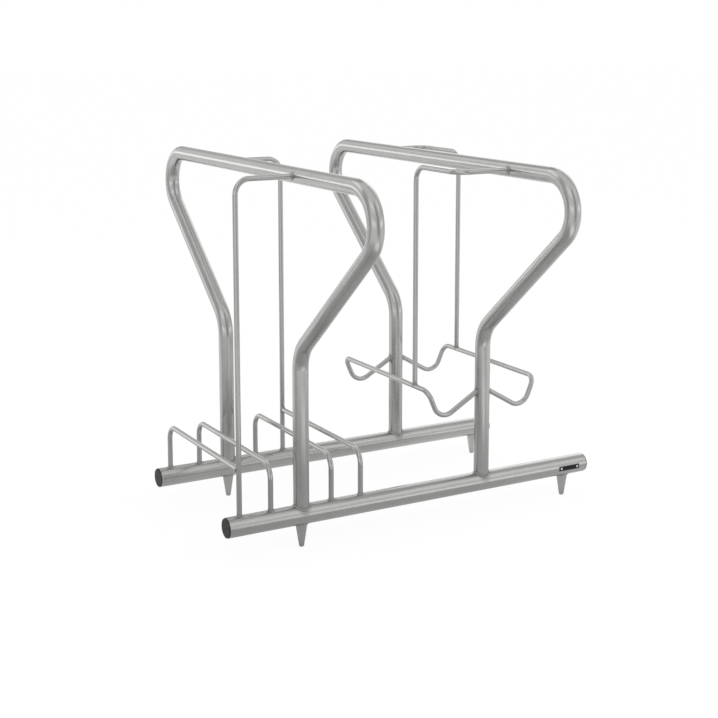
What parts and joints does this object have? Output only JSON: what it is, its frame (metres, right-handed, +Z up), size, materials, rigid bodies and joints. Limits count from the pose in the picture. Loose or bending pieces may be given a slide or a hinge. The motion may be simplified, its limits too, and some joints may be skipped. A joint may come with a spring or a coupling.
{
  "type": "two tier bike rack",
  "caption": "Welded floor rack that holds bicycle wheels at two heights, with bent tube hoops, guide rods, wheel wires and dipped cradles on two tube rails.",
  "frame": {"origin": "on the ground, midway between the two rails and midway along the front one", "axes": "+X along the rails from the low hoop to the high hoop, +Y across the rack to the rear, away from the plate, +Z up"},
  "size_m": [1.032, 1.1604, 0.9035],
  "materials": {
    "galvanised_steel": "satin galvanised steel with a fine grain",
    "weld_steel": "dull weld metal under the zinc",
    "cap_plastic": "matt black moulded plastic",
    "plate_paint": "smooth black",
    "rivet_metal": "satin"
  },
  "bodies": {
    "root": {"front_rail": "galvanised_steel", "rear_rail": "galvanised_steel", "front_left_end_cap": "cap_plastic", "front_right_end_cap": "cap_plastic", "rear_left_end_cap": "cap_plastic", "rear_right_end_cap": "cap_plastic", "front_left_foot": "galvanised_steel", "front_right_foot": "galvanised_steel", "rear_left_foot": "galvanised_steel", "rear_right_foot": "galvanised_steel", "low_hoop": "galvanised_steel", "high_hoop": "galvanised_steel", "low_front_guide_rod": "galvanised_steel", "low_rear_guide_rod": "galvanised_steel", "high_front_guide_rod": "galvanised_steel", "high_rear_guide_rod": "galvanised_steel", "left_outer_wheel_wire": "galvanised_steel", "left_inner_wheel_wire": "galvanised_steel", "right_inner_wheel_wire": "galvanised_steel", "right_outer_wheel_wire": "galvanised_steel", "left_wheel_cradle": "galvanised_steel", "right_wheel_cradle": "galvanised_steel", "blank_plate": "plate_paint", "plate_rivets": "rivet_metal", "hoop_weld_beads": "weld_steel", "foot_weld_beads": "weld_steel", "wire_weld_beads": "weld_steel", "guide_rod_weld_beads": "weld_steel", "cradle_weld_beads": "weld_steel"}
  },
  "joints": []
}
